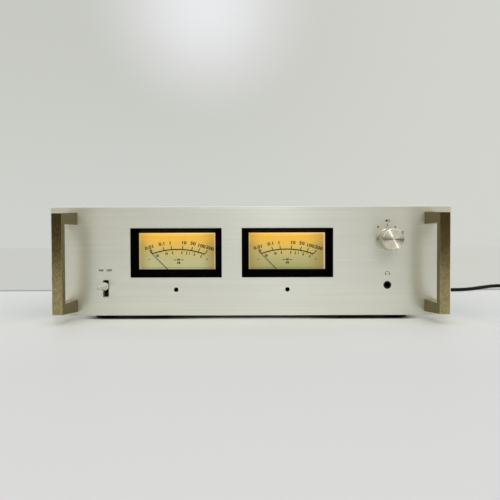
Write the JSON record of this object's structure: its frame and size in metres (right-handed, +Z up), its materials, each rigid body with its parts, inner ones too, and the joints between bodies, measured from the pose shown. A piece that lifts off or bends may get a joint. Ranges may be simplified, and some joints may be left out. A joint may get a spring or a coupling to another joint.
{
  "type": "stereo power amplifier",
  "caption": "Rack-width stereo power amplifier: brushed front with bar handles, lit pointer meters, selector knob, power lever and phones socket, on a vented case with a mains lead",
  "frame": {"origin": "middle of the amplifier's width and depth, on the surface it stands on; the mains lead doesn't count", "axes": "+X to the right seen from the front, +Y to the rear, +Z up"},
  "size_m": [0.8699, 0.4329, 0.1355],
  "materials": {
    "panel_aluminium": "fine brushed, clear anodised",
    "handle_bronze": "satin bronze anodised",
    "knob_aluminium": "turned, with a spun face",
    "sink_aluminium": "black anodised extrusion",
    "zinc_steel": "zinc plated",
    "black_screws": "blackened steel",
    "cover_paint": "dark fine-textured paint",
    "black_plastic": "moulded black",
    "clear_window": "clear acrylic",
    "dial_card": "printed, lit from above",
    "pointer_paint": "dark painted",
    "magnet_steel": "ground magnet steel",
    "lamp_glass": "fuse-type lamp",
    "chrome_plate": "bright plated",
    "rubber_black": "soft black",
    "phenolic": "printed circuit laminate with its parts",
    "core_iron": "varnished laminations",
    "winding_wrap": "varnished wrap over copper wire",
    "can_sleeve": "shrink sleeve on an aluminium can",
    "relay_case": "moulded",
    "brass_plain": "plain turned brass"
  },
  "bodies": {
    "amplifier": {"front_panel": "panel_aluminium", "handle_left": "handle_bronze", "handle_right": "handle_bronze", "handle_screws": "zinc_steel", "front_subpanel": "zinc_steel", "panel_screws": "zinc_steel", "meter_bezel_left": "black_plastic", "meter_bezel_right": "black_plastic", "meter_window_left": "clear_window", "meter_window_right": "clear_window", "meter_case_left": "black_plastic", "meter_case_right": "black_plastic", "meter_dial_left": "dial_card", "meter_dial_right": "dial_card", "meter_movement_left": "magnet_steel", "meter_movement_right": "magnet_steel", "dial_lamps": "lamp_glass", "selector_switch": "phenolic", "selector_nut": "chrome_plate", "power_switch": "black_plastic", "phones_socket": "black_plastic", "chassis_base": "zinc_steel", "side_frame_left": "zinc_steel", "side_frame_right": "zinc_steel", "rear_panel": "zinc_steel", "top_cover": "cover_paint", "case_screws": "black_screws", "feet": "rubber_black", "foot_screws": "zinc_steel", "heat_sink_left": "sink_aluminium", "heat_sink_right": "sink_aluminium", "output_transistors": "zinc_steel", "driver_board_left": "phenolic", "driver_board_right": "phenolic", "board_standoffs": "brass_plain", "transformer_core": "core_iron", "transformer_winding": "winding_wrap", "transformer_brackets": "zinc_steel", "transformer_bolts": "zinc_steel", "filter_capacitors": "can_sleeve", "capacitor_clamps": "zinc_steel", "supply_board": "phenolic", "speaker_relay": "relay_case", "input_jacks": "chrome_plate", "speaker_terminals": "black_plastic", "terminal_screws": "brass_plain", "cord_gland": "rubber_black", "power_cord": "rubber_black", "cord_coil": "rubber_black", "cord_tie": "black_plastic", "mains_plug": "rubber_black", "plug_blades": "brass_plain"},
    "pointer_left": {"meter_pointer_left": "pointer_paint"},
    "pointer_right": {"meter_pointer_right": "pointer_paint"},
    "adjuster_left": {"zero_adjuster_left": "black_plastic"},
    "adjuster_right": {"zero_adjuster_right": "black_plastic"},
    "lever": {"power_lever": "chrome_plate"},
    "selector": {"selector_knob": "knob_aluminium", "selector_shaft": "zinc_steel"}
  },
  "joints": [
    {"name": "pointer_left_swing", "type": "hinge", "parent": "amplifier", "child": "pointer_left", "pos_m": [-0.09013, -0.1319, 0.047], "axis": [0, 1, 0], "range_deg": [0, 87], "stiffness_Nm_per_rad": 0.00003, "springref_deg": -5.73},
    {"name": "pointer_right_swing", "type": "hinge", "parent": "amplifier", "child": "pointer_right", "pos_m": [0.0442, -0.1319, 0.047], "axis": [0, 1, 0], "range_deg": [0, 87], "stiffness_Nm_per_rad": 0.00003, "springref_deg": -5.73},
    {"name": "power_lever_tilt", "type": "hinge", "parent": "amplifier", "child": "lever", "pos_m": [-0.175, -0.128, 0.04], "axis": [1, 0, 0], "range_deg": [0, 22]},
    {"name": "selector_turn", "type": "hinge", "parent": "amplifier", "child": "selector", "pos_m": [0.1645, -0.144, 0.0953], "axis": [0, 1, 0], "range_deg": [-35, 70]},
    {"name": "adjuster_left_turn", "type": "hinge", "parent": "amplifier", "child": "adjuster_left", "pos_m": [-0.09013, -0.1437, 0.0354], "axis": [0, 1, 0], "continuous": true},
    {"name": "adjuster_right_turn", "type": "hinge", "parent": "amplifier", "child": "adjuster_right", "pos_m": [0.0442, -0.1437, 0.0354], "axis": [0, 1, 0], "continuous": true}
  ]
}
